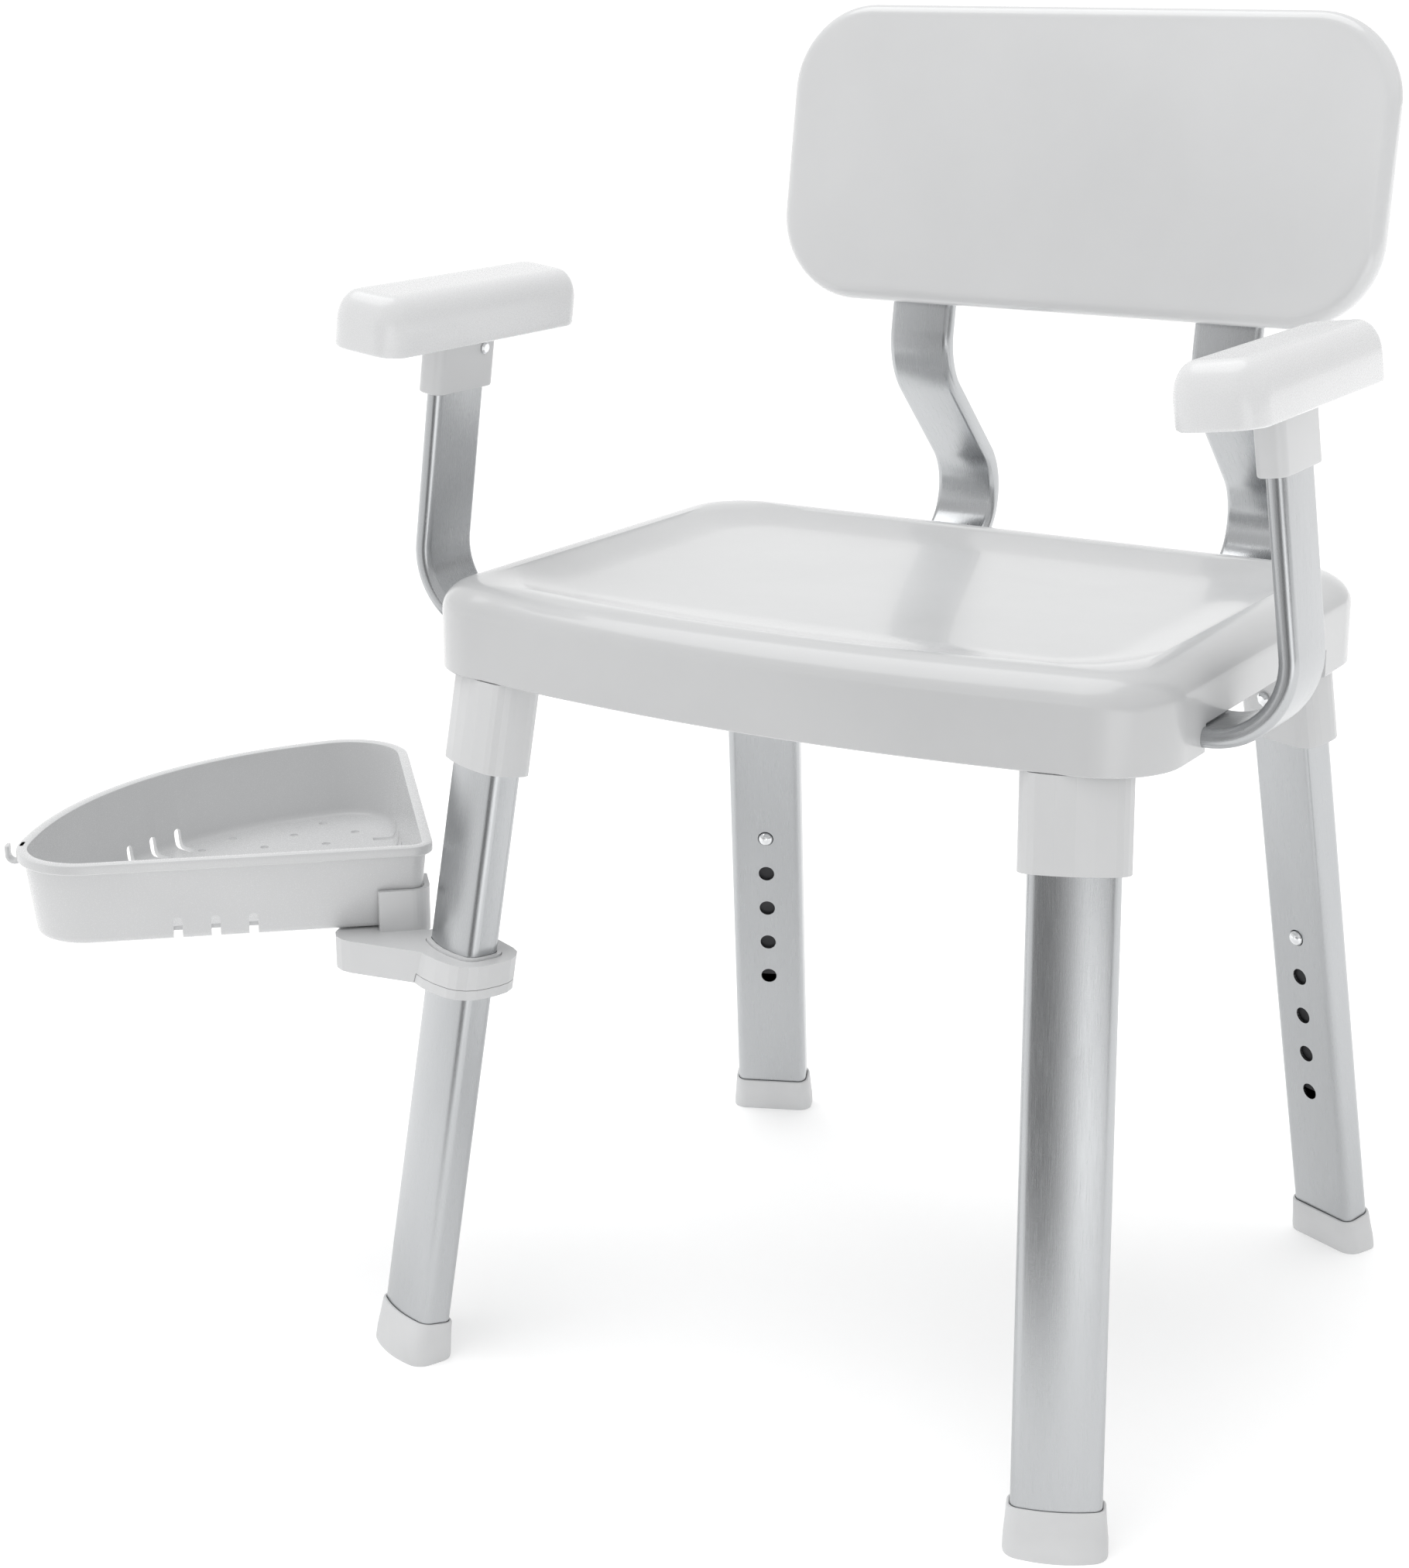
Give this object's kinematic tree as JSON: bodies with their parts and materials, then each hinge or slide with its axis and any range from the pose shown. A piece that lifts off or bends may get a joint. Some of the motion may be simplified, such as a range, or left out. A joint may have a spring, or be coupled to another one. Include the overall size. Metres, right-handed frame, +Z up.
{
  "type": "shower chair",
  "caption": "Shower chair with a moulded seat and back panel, height-adjustable aluminium legs, armrests and a quarter-round tray clamped to a front leg.",
  "frame": {"origin": "floor point under the middle of the bounding box", "axes": "+Z up, the sitter faces -Y, +X is the sitter's left; the tray is on the -X side"},
  "size_m": [0.6798, 0.5546, 0.7022],
  "materials": {
    "white_plastic": "glossy injection-moulded polyethylene",
    "anodised_aluminium": "satin silver anodised",
    "bright_steel": "polished",
    "grey_rubber": "matte pale grey"
  },
  "bodies": {
    "frame": {"seat_shell": "white_plastic", "back_panel": "white_plastic", "inner_tube_front_left": "anodised_aluminium", "button_spring_front_left": "bright_steel", "collar_screw_front_left": "bright_steel", "leg_collar_front_left": "white_plastic", "inner_tube_front_right": "anodised_aluminium", "button_spring_front_right": "bright_steel", "collar_screw_front_right": "bright_steel", "leg_collar_front_right": "white_plastic", "inner_tube_rear_left": "anodised_aluminium", "button_spring_rear_left": "bright_steel", "collar_screw_rear_left": "bright_steel", "leg_collar_rear_left": "white_plastic", "inner_tube_rear_right": "anodised_aluminium", "button_spring_rear_right": "bright_steel", "collar_screw_rear_right": "bright_steel", "leg_collar_rear_right": "white_plastic", "arm_tube_left": "anodised_aluminium", "arm_sleeve_left": "white_plastic", "arm_sleeve_screw_left": "bright_steel", "arm_pad_left": "white_plastic", "arm_socket_left": "white_plastic", "back_upright_left": "anodised_aluminium", "back_socket_left": "white_plastic", "back_clip_left": "white_plastic", "arm_tube_right": "anodised_aluminium", "arm_sleeve_right": "white_plastic", "arm_sleeve_screw_right": "bright_steel", "arm_pad_right": "white_plastic", "arm_socket_right": "white_plastic", "back_upright_right": "anodised_aluminium", "back_socket_right": "white_plastic", "back_clip_right": "white_plastic", "back_screw_1": "bright_steel", "back_screw_2": "bright_steel", "back_screw_3": "bright_steel", "back_screw_4": "bright_steel"},
    "leg_front_left": {"leg_tube_front_left": "anodised_aluminium", "foot_cap_front_left": "grey_rubber"},
    "leg_front_right": {"leg_tube_front_right": "anodised_aluminium", "foot_cap_front_right": "grey_rubber"},
    "leg_rear_left": {"leg_tube_rear_left": "anodised_aluminium", "foot_cap_rear_left": "grey_rubber"},
    "leg_rear_right": {"leg_tube_rear_right": "anodised_aluminium", "foot_cap_rear_right": "grey_rubber"},
    "height_button_front_left": {"height_button_front_left": "bright_steel"},
    "height_button_front_right": {"height_button_front_right": "bright_steel"},
    "height_button_rear_left": {"height_button_rear_left": "bright_steel"},
    "height_button_rear_right": {"height_button_rear_right": "bright_steel"},
    "arm_lock_button_left": {"arm_lock_button_left": "bright_steel"},
    "back_lock_button_left": {"back_lock_button_left": "bright_steel"},
    "arm_lock_button_right": {"arm_lock_button_right": "bright_steel"},
    "back_lock_button_right": {"back_lock_button_right": "bright_steel"},
    "tray_clamp": {"tray_bracket": "white_plastic", "tray_lower_ring": "white_plastic", "tray_bush": "white_plastic"},
    "tray": {"tray_basket": "white_plastic"}
  },
  "joints": [
    {"name": "leg_height_front_left", "type": "slide", "parent": "frame", "child": "leg_front_left", "axis": [-0.073, 0.147, 0.9864], "range_m": [0, 0.075], "deforming": ["height_button_front_left"]},
    {"name": "leg_height_front_right", "type": "slide", "parent": "frame", "child": "leg_front_right", "axis": [0.073, 0.147, 0.9864], "range_m": [0, 0.075], "deforming": ["height_button_front_right"]},
    {"name": "leg_height_rear_left", "type": "slide", "parent": "frame", "child": "leg_rear_left", "axis": [-0.0726, -0.1762, 0.9817], "range_m": [0, 0.075], "deforming": ["height_button_rear_left"]},
    {"name": "leg_height_rear_right", "type": "slide", "parent": "frame", "child": "leg_rear_right", "axis": [0.0726, -0.1762, 0.9817], "range_m": [0, 0.075], "deforming": ["height_button_rear_right"]},
    {"name": "height_button_press_front_left", "type": "slide", "parent": "frame", "child": "height_button_front_left", "axis": [0.3937, -0.9045, 0.1639], "range_m": [0, 0.0054], "stiffness_N_per_m": 400, "springref_m": -0.002},
    {"name": "height_button_press_front_right", "type": "slide", "parent": "frame", "child": "height_button_front_right", "axis": [-0.3937, -0.9045, 0.1639], "range_m": [0, 0.0054], "stiffness_N_per_m": 400, "springref_m": -0.002},
    {"name": "height_button_press_rear_left", "type": "slide", "parent": "frame", "child": "height_button_rear_left", "axis": [0.3937, 0.8993, 0.1906], "range_m": [0, 0.0054], "stiffness_N_per_m": 400, "springref_m": -0.002},
    {"name": "height_button_press_rear_right", "type": "slide", "parent": "frame", "child": "height_button_rear_right", "axis": [-0.3937, 0.8993, 0.1906], "range_m": [0, 0.0054], "stiffness_N_per_m": 400, "springref_m": -0.002},
    {"name": "arm_lock_press_left", "type": "slide", "parent": "frame", "child": "arm_lock_button_left", "axis": [0, 0, 1], "range_m": [0, 0.0048], "stiffness_N_per_m": 400, "springref_m": -0.002},
    {"name": "back_lock_press_left", "type": "slide", "parent": "frame", "child": "back_lock_button_left", "axis": [0, 0, 1], "range_m": [0, 0.0048], "stiffness_N_per_m": 400, "springref_m": -0.002},
    {"name": "arm_lock_press_right", "type": "slide", "parent": "frame", "child": "arm_lock_button_right", "axis": [0, 0, 1], "range_m": [0, 0.0048], "stiffness_N_per_m": 400, "springref_m": -0.002},
    {"name": "back_lock_press_right", "type": "slide", "parent": "frame", "child": "back_lock_button_right", "axis": [0, 0, 1], "range_m": [0, 0.0048], "stiffness_N_per_m": 400, "springref_m": -0.002},
    {"name": "tray_clamp_height", "type": "slide", "parent": "leg_front_right", "child": "tray_clamp", "axis": [0.073, 0.147, 0.9864], "range_m": [-0.1, 0]},
    {"name": "tray_lift", "type": "slide", "parent": "tray_clamp", "child": "tray", "axis": [0, 0, 1], "range_m": [0, 0.023]}
  ]
}
